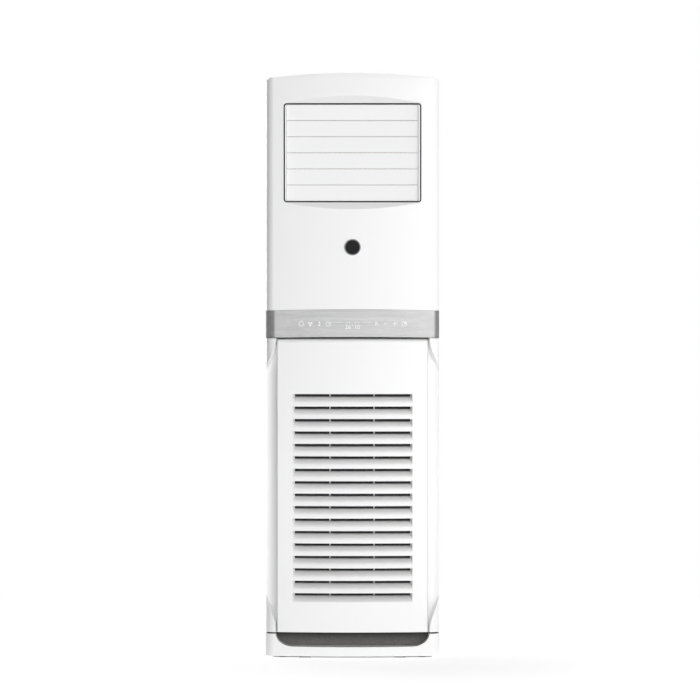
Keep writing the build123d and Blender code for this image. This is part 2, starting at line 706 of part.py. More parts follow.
def panel_catches():
    """Two spring catches that hold the intake panel's top."""
    catches = []
    for x in (-140, 140):
        body = block(x - 14, x + 14, -104, -94.5, 909, 922)
        catches.append(body + block(x - 8, x + 8, -112, -104, 912, 919))
    return catches


# --- fan -------------------------------------------------------------------------------------
def scroll_face():
    """Scroll seen from the front: three quarter arcs that grow towards the outlet."""
    r1, r2, r3 = SCROLL_ARCS
    top = SCROLL_TOP_R
    x0, x1 = OUTLET_X
    left = (-r1, top - r1)
    bottom = (r2 - r1, top - r1 - r2)
    right = (r2 - r1 + r3, top - r1 - r2 + r3)
    arcs = RadiusArc((0, top), left, -r1) + RadiusArc(left, bottom, -r2) + RadiusArc(bottom, right, -r3)
    rest = Polyline(right, (x1, OUTLET_H), (x0, OUTLET_H), (x0, top - 4), (0, top))
    return make_face(arcs + rest)


def scroll_half(y0, y1, plate_y, hole_r):
    face = scroll_face()
    inner = offset(face, -SCROLL_WALL)
    neck = Pos(sum(OUTLET_X) / 2, OUTLET_H) * Rectangle(OUTLET_X[1] - OUTLET_X[0] - 2 * SCROLL_WALL, 20)
    place = Pos(FAN_X, FAN_Z)
    low, high = sorted((plate_y, y0 if plate_y > y0 + SCROLL_WALL else y1))
    half = prism_y(place * face, y0, y1) - prism_y(place * (inner + neck), low, high)
    return half - rod_y(FAN_X, FAN_Z, hole_r, y0 - 1, y1 + 1)


def scroll_front():
    y0, y1 = SCROLL_Y
    middle = (y0 + y1) / 2
    return scroll_half(y0, middle, y0 + SCROLL_WALL, 142.5)


def scroll_rear():
    y0, y1 = SCROLL_Y
    middle = (y0 + y1) / 2
    return scroll_half(middle, y1, y1 - SCROLL_WALL, 62)


def bell_mouth():
    """Flared inlet ring in front of the impeller's eye."""
    y = SCROLL_Y[0]
    outer = Polyline((168, y - 0.1), (168, y - 2.6), (141, y - 2.6))
    flare = ThreePointArc((141, y - 2.6), (127, y + 2.5), (120, y + 18))
    back = Polyline((120, y + 18), (122.5, y + 18))
    under = ThreePointArc((122.5, y + 18), (128.8, y + 4.4), (141.5, y - 0.1))
    face = make_face(outer + flare + back + under + Line((141.5, y - 0.1), (168, y - 0.1)))
    return Pos(FAN_X, 0, FAN_Z) * revolve(face, Axis.Y)


def blade_face():
    """One forward-curved blade seen from the front."""
    r0, r1 = BLADE_IN_R + 1, IMPELLER_R - 1
    lead = math.radians(9)
    tip = (r1 * math.cos(lead), r1 * math.sin(lead))
    outer = ThreePointArc((r0, 0), (r0 + 16, 6.5), tip)
    inner = ThreePointArc((r0, 1.8), (r0 + 15.4, 8.4), (tip[0] - 0.6, tip[1] + 1.8))
    ends = Line((r0, 0), (r0, 1.8)) + Line(tip, (tip[0] - 0.6, tip[1] + 1.8))
    return make_face(outer + inner + ends)


def impeller():
    y0, y1 = IMPELLER_Y
    shroud = rod_y(0, 0, IMPELLER_R, y0, y0 + 3) - rod_y(0, 0, BLADE_IN_R, y0 - 1, y0 + 4)
    back = rod_y(0, 0, IMPELLER_R, y1 - 3, y1)
    hub = rod_y(0, 0, 22, -20, y1 - 2)
    face = blade_face()
    blades = [prism_y(Rot(0, 0, turn * 360 / BLADES) * face, y0 + 2, y1 - 2) for turn in range(BLADES)]
    wheel = shroud + [back, hub, *blades]
    return Pos(FAN_X, 0, FAN_Z) * (wheel - rod_y(0, 0, SHAFT_R + 0.05, -30, y1 + 5))


def motor_shaft():
    return rod_y(FAN_X, FAN_Z, SHAFT_R, -26, MOTOR_Y[1] - 10) + rod_y(FAN_X, FAN_Z, 9.5, -31, -20.5)


def fan_motor():
    y0, y1 = MOTOR_Y
    motor = rod_y(FAN_X, FAN_Z, MOTOR_R, y0 + 6, y1) + rod_y(FAN_X, FAN_Z, 28, y0 - 8, y0 + 6)
    ears = [block(FAN_X - 70, FAN_X + 70, y0, y0 + 6.5, FAN_Z - 9, FAN_Z + 9)]
    ears.append(block(FAN_X - 9, FAN_X + 9, y0, y0 + 6.5, FAN_Z - 70, FAN_Z + 70))
    return motor + ears - rod_y(FAN_X, FAN_Z, SHAFT_R + FIT, y0 - 20, y1 - 8)


def motor_bracket():
    y = SCROLL_Y[1]
    plate = block(FAN_X - 95, FAN_X + 95, y + 0.4, y + 2.9, FAN_Z - 95, FAN_Z + 95)
    return plate - rod_y(FAN_X, FAN_Z, 32, y - 1, y + 5)


def outlet_duct():
    """Widening duct from the scroll's outlet to the coil chamber."""
    z0, z1 = FAN_Z + OUTLET_H, 938.0
    x0, x1 = FAN_X + OUTLET_X[0], FAN_X + OUTLET_X[1]
    low = ((x0 + x1) / 2, sum(SCROLL_Y) / 2, x1 - x0, SCROLL_Y[1] - SCROLL_Y[0])
    high = (0.0, 70.0, 464.0, 156.0)

    def tube(wall, over):
        faces = []
        for (x, y, w, d), z in ((low, z0 - over), (high, z1 + over)):
            faces.append(Pos(x, y, z) * Rectangle(w - 2 * wall, d - 2 * wall))
        return loft(faces, ruled=True)

    return tube(0, 0) - tube(SCROLL_WALL, 0.01)


# --- coil chamber ----------------------------------------------------------------------------
def coil_place():
    return Pos(0, *COIL_FOOT) * Rot(COIL_TILT, 0, 0)


def tube_places():
    first = (COIL_L - TUBE_PITCH * (TUBE_ROWS - 1)) / 2
    heights = [first + TUBE_PITCH * row for row in range(TUBE_ROWS)]
    return [(column * COIL_T / 4, height) for column in (-1, 1) for height in heights]


def evaporator_fins():
    """Row of separate plates, each with a hole for every tube."""
    face = Pos(0, COIL_L / 2) * Rectangle(COIL_T, COIL_L)
    for place in tube_places():
        face -= Pos(*place) * Circle(TUBE_R + 0.1)
    plate = prism_x(face, 0, FIN_T)
    pitch = (2 * COIL_X - FIN_T) / (FINS - 1)
    return [coil_place() * Pos(pitch * number - COIL_X, 0, 0) * plate for number in range(FINS)]


def evaporator_end_plates():
    plates = []
    for side in (-1, 1):
        x0, x1 = sorted((side * (COIL_X + 1), side * (COIL_X + 3)))
        plate = block(x0, x1, -COIL_T / 2 - 3, COIL_T / 2 + 3, -2, COIL_L + 2)
        for y, z in tube_places():
            plate -= rod_x(y, z, TUBE_R + 0.3, x0 - 1, x1 + 1)
        plates.append(coil_place() * plate)
    return plates


def bend(x, y, z, side, radius):
    """Half a ring that joins the tube at z to the next one above."""
    ring = Pos(x, y, z + TUBE_PITCH / 2) * Rot(90, 0, 0) * Torus(TUBE_PITCH / 2, radius)
    x0, x1 = sorted((x, x + side * TUBE_PITCH))
    return ring & block(x0, x1, y - 10, y + 10, z - 10, z + TUBE_PITCH + 10)


def serpentine(column, radius, over):
    """One column of tubes and bends, its two open ends on the right made longer by over."""
    end = COIL_X + 5
    rows = [z for y, z in tube_places() if y == column]
    parts = []
    for row, z in enumerate(rows):
        extra = over if row in (0, TUBE_ROWS - 1) else 0
        parts.append(rod_x(column, z, radius, -end, end + extra))
        if row < TUBE_ROWS - 1:
            side = 1 if row % 2 else -1
            parts.append(bend(side * end, column, z, side, radius))
    return parts[0] + parts[1:]


def evaporator_tubes():
    tubes = []
    for column in (-COIL_T / 4, COIL_T / 4):
        tube = serpentine(column, TUBE_R, 0) - serpentine(column, TUBE_R - TUBE_WALL, 1)
        tubes.append(coil_place() * tube)
    return tubes


def drain_pan():
    """Pan under the coil's low end, with a hose spigot at its right rear corner."""
    z0, z1 = PAN_Z
    outer_r, bore_r = SPIGOT_R
    pan = block(-215, 215, -120, -12, z0, z1) - block(-212.5, 212.5, -117.5, -14.5, z0 + 2.5, z1 + 1)
    pan += rod_z(*SPIGOT_XY, outer_r, z0 - SPIGOT_L, z0 + 1)
    return pan - rod_z(*SPIGOT_XY, bore_r, z0 - SPIGOT_L - 2, z0 + 5)


def foam_liner():
    """Foam box round the coil chamber, open to the front and below."""
    liner = block(-246.5, 246.5, -80, 150, 990, 1664)
    liner -= block(-236, 236, -82, 139, 988, 1652)
    for x, z in anchor_places() + screw_places():
        liner -= rod_y(x, z, 6, 130, 152)
    return liner


def control_box():
    (y0, y1), (z0, z1), x = BOX_Y, BOX_Z, BOX_X
    room = block(-x + BOX_T, x - BOX_T, y0 - 1, y1 - BOX_T, z0 + BOX_T, z1 - BOX_T)
    return block(-x, x, y0, y1, z0, z1) - room


def control_box_cover():
    return block(-BOX_X, BOX_X, BOX_Y[0] - 0.1 - BOX_T, BOX_Y[0] - 0.1, *BOX_Z)


def main_board():
    """Circuit board with its transformer, relays and capacitor."""
    board = block(-170, 60, -74, -72.4, 785, 895)
    parts = [block(-160, -115, -104, -74, 795, 835), block(-100, -75, -92, -74, 800, 820)]
    parts += [block(-65, -40, -92, -74, 800, 820), rod_z(-135, -86.5, 13, 842, 890)]
    parts.append(block(-40, 30, -80, -74, 850, 870))
    return board + parts


def terminal_block():
    bar = block(80, 172, -92, -72, 800, 822)
    for number in range(6):
        x = 90 + 14.5 * number
        bar -= block(x - 5, x + 5, -93, -84, 803, 819)
    return bar


def refrigerant_stubs():
    """Gas and liquid pipe from the coil's open ends down to their flare unions."""
    stubs = []
    row = (COIL_L - TUBE_PITCH * (TUBE_ROWS - 1)) / 2
    sizes = ((-COIL_T / 4, GAS_R, GAS_UNION_R, 25.0), (COIL_T / 4, LIQUID_R, LIQUID_UNION_R, 16.0))
    for column, radius, union_r, turn in sizes:
        start = (coil_place() * Pos(COIL_X + 5.2, column, row)).position
        corner, end = (PIPE_X, start.Y, start.Z), (PIPE_X, start.Y, UNION_Z + 10)
        route = FilletPolyline(start, corner, end, radius=turn)
        plane = Plane(route @ 0, z_dir=route % 0)
        pipe = sweep(plane * Circle(radius), path=route)
        pipe += rod_z(PIPE_X, start.Y, union_r + 2.5, UNION_Z, UNION_Z + 14)
        pipe += rod_z(PIPE_X, start.Y, union_r, UNION_Z - 18, UNION_Z)
        inner = radius - PIPE_WALL
        pipe -= sweep(plane * Circle(inner), path=route)
        stubs.append(pipe - rod_z(PIPE_X, start.Y, inner, UNION_Z - 20, UNION_Z + 11))
    return stubs


# --- build -----------------------------------------------------------------------------------
def main():
    os.makedirs("parts", exist_ok=True)
    outer = envelope(0)
    left = left_side_panel(outer)
    pieces = {
        "base_plinth": base_plinth(),
        "base_tray": base_tray(),
        "foot_pads": foot_pads(),
        "left_side_panel": left,
        "right_side_panel": mirror(left, about=Plane.YZ),
        "top_cover": top_cover(outer),
        "upper_front_panel": upper_front_panel(outer),
        "control_band": control_band(),
        "display_carrier": display_carrier(),
        "display_board": display_board(),
        "badge_ring": badge_ring(),
        "badge_disc": badge_disc(),
        "rear_panel": rear_panel(),
        "anchor_nuts": anchor_nuts(),
        "case_screws": case_screws(),
        "pipe_grommet": pipe_grommet(),
        "window_trim": window_trim(),
        "outlet_frame": outlet_frame(),
        "louvre_link": louvre_link(),
        "louvre_motor": louvre_motor(),
        "vane_link": vane_link(),
        "vane_motor": vane_motor(),
        "intake_panel": intake_panel(),
        "filter_frame": filter_frame(),
        "filter_mesh": filter_mesh(),
        "chassis_frame": chassis_frame(),
        "panel_catches": panel_catches(),
        "scroll_front": scroll_front(),
        "scroll_rear": scroll_rear(),
        "bell_mouth": bell_mouth(),
        "impeller": impeller(),
        "motor_shaft": motor_shaft(),
        "fan_motor": fan_motor(),
        "motor_bracket": motor_bracket(),
        "outlet_duct": outlet_duct(),
        "evaporator_fins": evaporator_fins(),
        "evaporator_end_plates": evaporator_end_plates(),
        "evaporator_tubes": evaporator_tubes(),
        "drain_pan": drain_pan(),
        "foam_liner": foam_liner(),
        "control_box": control_box(),
        "control_box_cover": control_box_cover(),
        "main_board": main_board(),
        "terminal_block": terminal_block(),
        "refrigerant_stubs": refrigerant_stubs(),
    }
    for index in range(LOUVRES):
        pieces[f"louvre_{index + 1}"] = louvre(index)
    for index in range(VANES):
        pieces[f"vane_{index + 1}"] = vane(index)
    for name, shape in pieces.items():
        save(name, shape)


main()
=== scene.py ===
# %% [markdown]
# # A floor standing air conditioner, dressed for its picture
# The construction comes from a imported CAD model, where every piece already has its real size and
# place. Blender adds what a ruler can't give: the finish of each surface, the soft rounding of
# moulded edges, the small printed signs on the touch band, the lamps and the camera. Sizes are in
# metres, +Z is up and the bowed front faces -Y.

# %% Load the frame
import bpy
import json
import math
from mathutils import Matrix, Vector


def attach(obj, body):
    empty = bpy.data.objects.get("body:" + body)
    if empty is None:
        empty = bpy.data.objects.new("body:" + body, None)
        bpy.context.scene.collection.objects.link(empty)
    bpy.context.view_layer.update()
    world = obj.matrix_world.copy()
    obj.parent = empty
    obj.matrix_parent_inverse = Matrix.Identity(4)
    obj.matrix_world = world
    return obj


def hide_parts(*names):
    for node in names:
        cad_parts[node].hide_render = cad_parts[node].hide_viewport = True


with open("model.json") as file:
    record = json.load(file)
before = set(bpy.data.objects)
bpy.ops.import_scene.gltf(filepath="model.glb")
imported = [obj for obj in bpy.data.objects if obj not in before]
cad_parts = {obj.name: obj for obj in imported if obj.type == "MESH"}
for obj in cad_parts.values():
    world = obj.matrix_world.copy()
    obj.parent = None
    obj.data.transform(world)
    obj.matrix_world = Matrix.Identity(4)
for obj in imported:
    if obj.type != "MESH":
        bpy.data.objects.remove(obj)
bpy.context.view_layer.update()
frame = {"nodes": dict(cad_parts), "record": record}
nodes = frame["nodes"]
MM = 0.001

# %% [markdown]
# ## Camera
# The photograph is a straight front view with hardly any perspective, as from a long lens ten
# metres away. A lens of this length frames a bit over two metres at the front of the cabinet. The
# cabinet stands a little right of the picture's middle, so the camera stands a little to its left.

# %% Camera
CAMERA_DISTANCE = 10.0
CAMERA_X = -0.0073
CAMERA_HEIGHT = 0.8943
FRONT_Y = -0.1545
FRAME_WIDTH = 2.0345
SENSOR_WIDTH = 36.0
FARTHEST_SEEN = 100.0
camera_data = bpy.data.cameras.new("long_lens")
camera_data.sensor_width = SENSOR_WIDTH
camera_data.lens = SENSOR_WIDTH * CAMERA_DISTANCE / FRAME_WIDTH
camera_data.clip_end = FARTHEST_SEEN
camera = bpy.data.objects.new("long_lens", camera_data)
camera.location = (CAMERA_X, FRONT_Y - CAMERA_DISTANCE, CAMERA_HEIGHT)
camera.rotation_euler = (math.radians(90), 0, 0)
bpy.context.scene.collection.objects.link(camera)
bpy.context.scene.camera = camera
bpy.context.scene.view_settings.view_transform = "Standard"
print("lens", round(camera_data.lens, 1), "mm")

# %% [markdown]
# ## Lamps
# Product pictures of white goods need a clear side to the light, or the white faces melt into the
# white ground. A large soft lamp stands on the right of the camera. A second lights the back for
# views from there, and a third hangs behind the crown and lights the top. Neither of these two
# reaches the front, so the picture keeps its one clear side.

# %% Lamps
LAMPS = {  # name: where it stands, what it faces, its width, its power in watts
    "key_lamp": ((3.06, -4.71, 1.0), (0, 0, 0.85), 2.6, 40),
    "back_lamp": ((-2.2, 4.3, 1.0), (0, 0, 0.9), 2.5, 75),
    "top_lamp": ((-0.3, 0.8, 3.6), (0, 0, 1.7), 1.2, 25),
}
for name, (place, target, width, power) in LAMPS.items():
    data = bpy.data.lights.new(name, "AREA")
    data.shape = "SQUARE"
    data.size = width
    data.energy = power
    lamp = bpy.data.objects.new(name, data)
    lamp.location = place
    lamp.rotation_euler = (Vector(target) - Vector(place)).to_track_quat("-Z", "Y").to_euler()
    bpy.context.scene.collection.objects.link(lamp)
print("lamps", len(bpy.data.lights))

# %% [markdown]
# ## Node helpers
# Every material here is a small tree of nodes. By hand each node is added, set and wired with the
# mouse. Four helpers do the same in a line each: one adds any node, two add the kinds that come
# back most, and one draws the wires.

# %% Node helpers
def add_node(tree, kind, place=(0, 0), **values):
    """A node at a place in the editor, with its properties or its inputs set by name."""
    node = tree.nodes.new(kind)
    node.location = place
    for name, value in values.items():
        if name.startswith("in_"):
            node.inputs[name[3:].replace("_", " ")].default_value = value
        else:
            setattr(node, name, value)
    return node


def maths(tree, operation, place, second=None, third=None):
    """A Math node, with its second and third number where no wire brings them."""
    node = add_node(tree, "ShaderNodeMath", place, operation=operation)
    for index, value in ((1, second), (2, third)):
        if value is not None:
            node.inputs[index].default_value = value
    return node


def ramp(tree, place, reach, values=(0.0, 1.0), kind="LINEAR"):
    """A Map Range node that goes from one value to another over a reach of what it is given."""
    return add_node(tree, "ShaderNodeMapRange", place, interpolation_type=kind,
                    in_From_Min=reach[0], in_From_Max=reach[1],
                    in_To_Min=values[0], in_To_Max=values[1])


def wire(tree, *pairs):
    """Link each (output, input) pair."""
    for start, end in pairs:
        tree.links.new(start, end)


# %% [markdown]
# ## World
# The world is plain white only for rays that reach it from the camera, a mirror or glass, so the
# ground is white and yet throws little light. For all other rays it is brighter level with the
# horizon than above or below, and brighter on the right, as in a room with bright walls and a dim
# ceiling. That brings out every face that leans up, down or left.

# %% World tree and the rays that see white
world = bpy.data.worlds.new("white_ground")
bpy.context.scene.world = world
world.use_nodes = True
tree = world.node_tree
tree.nodes.clear()
path = add_node(tree, "ShaderNodeLightPath", (-800, 300))
seen = maths(tree, "MAXIMUM", (-600, 300))
clear = maths(tree, "MAXIMUM", (-400, 300))
chosen = add_node(tree, "ShaderNodeMix", (-100, 100), in_B=1.0)
ground = add_node(tree, "ShaderNodeBackground", (50, 100), in_Color=(1, 1, 1, 1))
out = add_node(tree, "ShaderNodeOutputWorld", (250, 100))
wire(tree, (path.outputs["Is Camera Ray"], seen.inputs[0]),
     (path.outputs["Is Glossy Ray"], seen.inputs[1]), (seen.outputs[0], clear.inputs[0]),
     (path.outputs["Is Transmission Ray"], clear.inputs[1]),
     (clear.outputs[0], chosen.inputs["Factor"]),
     (chosen.outputs["Result"], ground.inputs["Strength"]),
     (ground.outputs[0], out.inputs["Surface"]))
print("world", world.name)

# %% Room light
HORIZON_LIGHT = 1.55
ZENITH_LIGHT = 0.02
HORIZON_REACH = 0.3
BRIGHT_WAY = (0.545, -0.838, 0.0)
BRIGHT_POWER = 2.0
way = add_node(tree, "ShaderNodeTexCoord", (-1000, -100))
split = add_node(tree, "ShaderNodeSeparateXYZ", (-800, -100))
steep = maths(tree, "ABSOLUTE", (-600, -100))
height_light = ramp(tree, (-400, -100), (0.0, HORIZON_REACH), (HORIZON_LIGHT, ZENITH_LIGHT),
                    "SMOOTHSTEP")
lean = add_node(tree, "ShaderNodeVectorMath", (-600, -350), operation="DOT_PRODUCT")
lean.inputs[1].default_value = BRIGHT_WAY
side = maths(tree, "ADD", (-400, -350), second=1.0)
lobe = maths(tree, "POWER", (-330, -350), second=BRIGHT_POWER)
room = maths(tree, "MULTIPLY", (-250, -200))
wire(tree, (way.outputs["Generated"], split.inputs[0]), (split.outputs["Z"], steep.inputs[0]),
     (steep.outputs[0], height_light.inputs["Value"]),
     (way.outputs["Generated"], lean.inputs[0]), (lean.outputs["Value"], side.inputs[0]),
     (side.outputs[0], lobe.inputs[0]), (lobe.outputs[0], room.inputs[0]),
     (height_light.outputs["Result"], room.inputs[1]), (room.outputs[0], chosen.inputs["A"]))
print("world nodes", len(tree.nodes))

# %% [markdown]
# ## Floor
# The cabinet stands on a pale floor that runs into the white ground without an edge and keeps a
# soft shadow round the foot. A grey plane takes the shadow, and a glow added to it makes it look
# white. What the camera sees of the glow grows outwards, so the shadow stays near the foot. Other
# rays see a glow close to the cabinet alone, where a real floor throws light up at the panels.
# Each glow is a pair of strengths and the two distances, in metres, between which it changes.

# %% Floor plane
FLOOR_SIZE = 4.4
FLOOR_TINT = (0.5, 0.5, 0.5)
bpy.ops.object.select_all(action="DESELECT")
bpy.ops.mesh.primitive_plane_add(size=FLOOR_SIZE, location=(0, 0, 0))
floor = bpy.context.active_object
floor.name = "floor"
bpy.ops.object.transform_apply(location=True, rotation=True, scale=True)
floor_paint = bpy.data.materials.new("floor_white")
floor_paint.use_nodes = True
floor.data.materials.append(floor_paint)
print("floor", floor.name)

# %% Floor glow
GLOW, GLOW_REACH = (0.82, 1.0), (0.4, 1.8)
BOUNCE, BOUNCE_REACH = (0.9, 0.0), (0.3, 0.9)
tree = floor_paint.node_tree
tree.nodes.clear()
path = add_node(tree, "ShaderNodeLightPath", (-700, 350))
shown = maths(tree, "MAXIMUM", (-500, 300))
spot = add_node(tree, "ShaderNodeTexCoord", (-1100, -200))
away = add_node(tree, "ShaderNodeVectorMath", (-900, -200), operation="LENGTH")
rise = ramp(tree, (-700, 0), GLOW_REACH, GLOW, "SMOOTHSTEP")
fade = ramp(tree, (-700, -300), BOUNCE_REACH, BOUNCE, "SMOOTHSTEP")
either = add_node(tree, "ShaderNodeMix", (-300, 0))
wire(tree, (path.outputs["Is Camera Ray"], shown.inputs[0]),
     (path.outputs["Is Glossy Ray"], shown.inputs[1]), (spot.outputs["Object"], away.inputs[0]),
     (away.outputs["Value"], rise.inputs["Value"]), (away.outputs["Value"], fade.inputs["Value"]),
     (shown.outputs[0], either.inputs["Factor"]), (fade.outputs["Result"], either.inputs["A"]),
     (rise.outputs["Result"], either.inputs["B"]))
print("glow", GLOW, "bounce", BOUNCE)

# %% [markdown]
# Hardly any light gets under the cabinet, which shows as a dark line between the rubber pads. The
# glow would fill that line, so it is taken away under the plinth. Each coordinate is divided by
# the distance of the plinth's edge on that side, and the front edge follows the plinth's bow, so
# the largest of the three results is 1 on the outline and less inside it.

# %% Floor under the cabinet
COVERED_SIDE, COVERED_BACK, COVERED_FRONT = 0.236, 0.150, 0.151
COVERED_BOW = 0.41
COVERED_EDGE = (0.97, 1.0)
split = add_node(tree, "ShaderNodeSeparateXYZ", (-1100, -500))
squared = maths(tree, "MULTIPLY", (-950, -400))
bowed = maths(tree, "MULTIPLY_ADD", (-800, -400), second=-COVERED_BOW)
ahead = maths(tree, "DIVIDE", (-650, -400), second=-COVERED_FRONT)
behind = maths(tree, "DIVIDE", (-800, -600), second=COVERED_BACK)
sideways = maths(tree, "ABSOLUTE", (-800, -800))
beside = maths(tree, "DIVIDE", (-650, -800), second=COVERED_SIDE)
along = maths(tree, "MAXIMUM", (-500, -500))
largest = maths(tree, "MAXIMUM", (-400, -600))
uncovered = ramp(tree, (-300, -500), COVERED_EDGE)
lit = maths(tree, "MULTIPLY", (-200, -200))
wire(tree, (spot.outputs["Object"], split.inputs[0]), (split.outputs["X"], squared.inputs[0]),
     (split.outputs["X"], squared.inputs[1]), (squared.outputs[0], bowed.inputs[0]),
     (split.outputs["Y"], bowed.inputs[2]), (bowed.outputs[0], ahead.inputs[0]),
     (split.outputs["Y"], behind.inputs[0]), (split.outputs["X"], sideways.inputs[0]),
     (sideways.outputs[0], beside.inputs[0]), (ahead.outputs[0], along.inputs[0]),
     (behind.outputs[0], along.inputs[1]), (along.outputs[0], largest.inputs[0]),
     (beside.outputs[0], largest.inputs[1]), (largest.outputs[0], uncovered.inputs["Value"]),
     (either.outputs["Result"], lit.inputs[0]), (uncovered.outputs["Result"], lit.inputs[1]))
print("covered floor", 2 * COVERED_SIDE, "m wide")

# %% Floor surface
matte = add_node(tree, "ShaderNodeBsdfDiffuse", (100, 100), in_Color=(*FLOOR_TINT, 1))
glow = add_node(tree, "ShaderNodeEmission", (-100, -50))
both = add_node(tree, "ShaderNodeAddShader", (300, 0))
out = add_node(tree, "ShaderNodeOutputMaterial", (500, 0))
wire(tree, (lit.outputs[0], glow.inputs["Strength"]), (matte.outputs[0], both.inputs[0]),
     (glow.outputs[0], both.inputs[1]), (both.outputs[0], out.inputs["Surface"]))
print("floor nodes", len(tree.nodes))

# %% [markdown]
# ## Shared surface effects
# Some effects come back on many finishes, so each is a node group, built once. *Moulded skin* is
# the faint orange peel and uneven gloss of injection moulded plastic and of powder coat. *Drawn
# lines* are the fine parallel scratches of brushed metal. *Dust and painted shade* greys the faces
# that look up and whatever is near the floor, a little: partly dust, because nothing stands in a
# room without some, and partly painted shade on faces that lean up and a painted lighter foot on
# the black base tray.
# *Woven net* is the filter's. Noise runs from 0 to 1, so its middle is taken off to let it go
# both ways.

# %% Group helper
FLOAT = "NodeSocketFloat"
COLOR = "NodeSocketColor"
NOISE_MIDDLE = 0.5


def new_group(name, inputs, outputs):
    """An empty shader group: inputs are (name, kind, default), outputs are (name, kind)."""
    group = bpy.data.node_groups.new(name, "ShaderNodeTree")
    for title, kind, value in inputs:
        socket = group.interface.new_socket(name=title, in_out="INPUT", socket_type=kind)
        socket.default_value = value
    for title, kind in outputs:
        group.interface.new_socket(name=title, in_out="OUTPUT", socket_type=kind)
    start = add_node(group, "NodeGroupInput", (-900, 0))
    end = add_node(group, "NodeGroupOutput", (700, 0))
    return group, start, end


# %% [markdown]
# A moulding's skin is never one flat value. Two noises are enough: a coarse one that shifts colour
# and gloss over a hand's width, and a fine one for the peel. Object coordinates keep the grain at
# its real size on every piece, and no UV map is needed.

# %% Moulded skin
HAND_WIDTH_SCALE = 9.0
skin, start, end = new_group(
    "moulded_skin",
    [("Tint", COLOR, (0.8, 0.8, 0.8, 1)), ("Mottle", FLOAT, 0.02), ("Gloss", FLOAT, 0.35),
     ("Gloss Drift", FLOAT, 0.04), ("Grain Size", FLOAT, 600.0)],
    [("Color", COLOR), ("Roughness", FLOAT), ("Height", FLOAT)])
place = add_node(skin, "ShaderNodeTexCoord", (-900, -300))
drift = add_node(skin, "ShaderNodeTexNoise", (-650, 200), in_Scale=HAND_WIDTH_SCALE, in_Detail=3.0)
peel = add_node(skin, "ShaderNodeTexNoise", (-650, -200), in_Detail=2.0)
centred = maths(skin, "SUBTRACT", (-520, 100), second=NOISE_MIDDLE)
dim = maths(skin, "MULTIPLY_ADD", (-400, 300), third=1.0)
tinted = add_node(skin, "ShaderNodeVectorMath", (-150, 250), operation="SCALE")
rough = maths(skin, "MULTIPLY_ADD", (-150, 0))
wire(skin, (place.outputs["Object"], drift.inputs["Vector"]),
     (place.outputs["Object"], peel.inputs["Vector"]),
     (start.outputs["Grain Size"], peel.inputs["Scale"]),
     (drift.outputs["Fac"], centred.inputs[0]),
     (centred.outputs[0], dim.inputs[0]), (start.outputs["Mottle"], dim.inputs[1]),
     (start.outputs["Tint"], tinted.inputs[0]), (dim.outputs[0], tinted.inputs["Scale"]),
     (centred.outputs[0], rough.inputs[0]), (start.outputs["Gloss Drift"], rough.inputs[1]),
     (start.outputs["Gloss"], rough.inputs[2]),
     (tinted.outputs[0], end.inputs["Color"]), (rough.outputs[0], end.inputs["Roughness"]),
     (peel.outputs["Fac"], end.inputs["Height"]))
print("group", skin.name, len(skin.nodes), "nodes")

# %% [markdown]
# Brushed metal is noise pulled out along the stroke: the coordinates are squeezed hard across the
# strokes and hardly at all along them. The stroke runs along X on the touch band, as it does on a
# strip that was brushed before it was bent. A fine noise draws the scratches and a broad one
# shades them in bands.

# %% Drawn lines
BROAD_SCALE = 0.09
LINE_GLOSS_DRIFT = 0.15
drawn, start, end = new_group(
    "drawn_lines",
    [("Tint", COLOR, (0.6, 0.6, 0.6, 1)), ("Contrast", FLOAT, 0.2), ("Gloss", FLOAT, 0.3),
     ("Across", FLOAT, 900.0), ("Along", FLOAT, 4.0)],
    [("Color", COLOR), ("Roughness", FLOAT), ("Height", FLOAT)])
place = add_node(drawn, "ShaderNodeTexCoord", (-900, -300))
squeeze = add_node(drawn, "ShaderNodeCombineXYZ", (-750, -100))
pulled = add_node(drawn, "ShaderNodeVectorMath", (-600, -200), operation="MULTIPLY")
fine = add_node(drawn, "ShaderNodeTexNoise", (-400, -200), in_Scale=1.0, in_Detail=4.0)
broad = add_node(drawn, "ShaderNodeTexNoise", (-400, 100), in_Scale=BROAD_SCALE, in_Detail=3.0)
mixed = maths(drawn, "ADD", (-200, 0))
centred = maths(drawn, "SUBTRACT", (-50, 0), second=2 * NOISE_MIDDLE)
dim = maths(drawn, "MULTIPLY_ADD", (100, 100), third=1.0)
tinted = add_node(drawn, "ShaderNodeVectorMath", (300, 200), operation="SCALE")
rough = maths(drawn, "MULTIPLY_ADD", (300, 0), second=LINE_GLOSS_DRIFT)
wire(drawn, (start.outputs["Along"], squeeze.inputs["X"]),
     (start.outputs["Across"], squeeze.inputs["Y"]), (start.outputs["Across"], squeeze.inputs["Z"]),
     (place.outputs["Object"], pulled.inputs[0]), (squeeze.outputs[0], pulled.inputs[1]),
     (pulled.outputs[0], fine.inputs["Vector"]), (pulled.outputs[0], broad.inputs["Vector"]),
     (fine.outputs["Fac"], mixed.inputs[0]), (broad.outputs["Fac"], mixed.inputs[1]),
     (mixed.outputs[0], centred.inputs[0]),
     (centred.outputs[0], dim.inputs[0]), (start.outputs["Contrast"], dim.inputs[1]),
     (start.outputs["Tint"], tinted.inputs[0]), (dim.outputs[0], tinted.inputs["Scale"]),
     (centred.outputs[0], rough.inputs[0]), (start.outputs["Gloss"], rough.inputs[2]),
     (tinted.outputs[0], end.inputs["Color"]), (rough.outputs[0], end.inputs["Roughness"]),
     (fine.outputs["Fac"], end.inputs["Height"]))
print("group", drawn.name, len(drawn.nodes), "nodes")
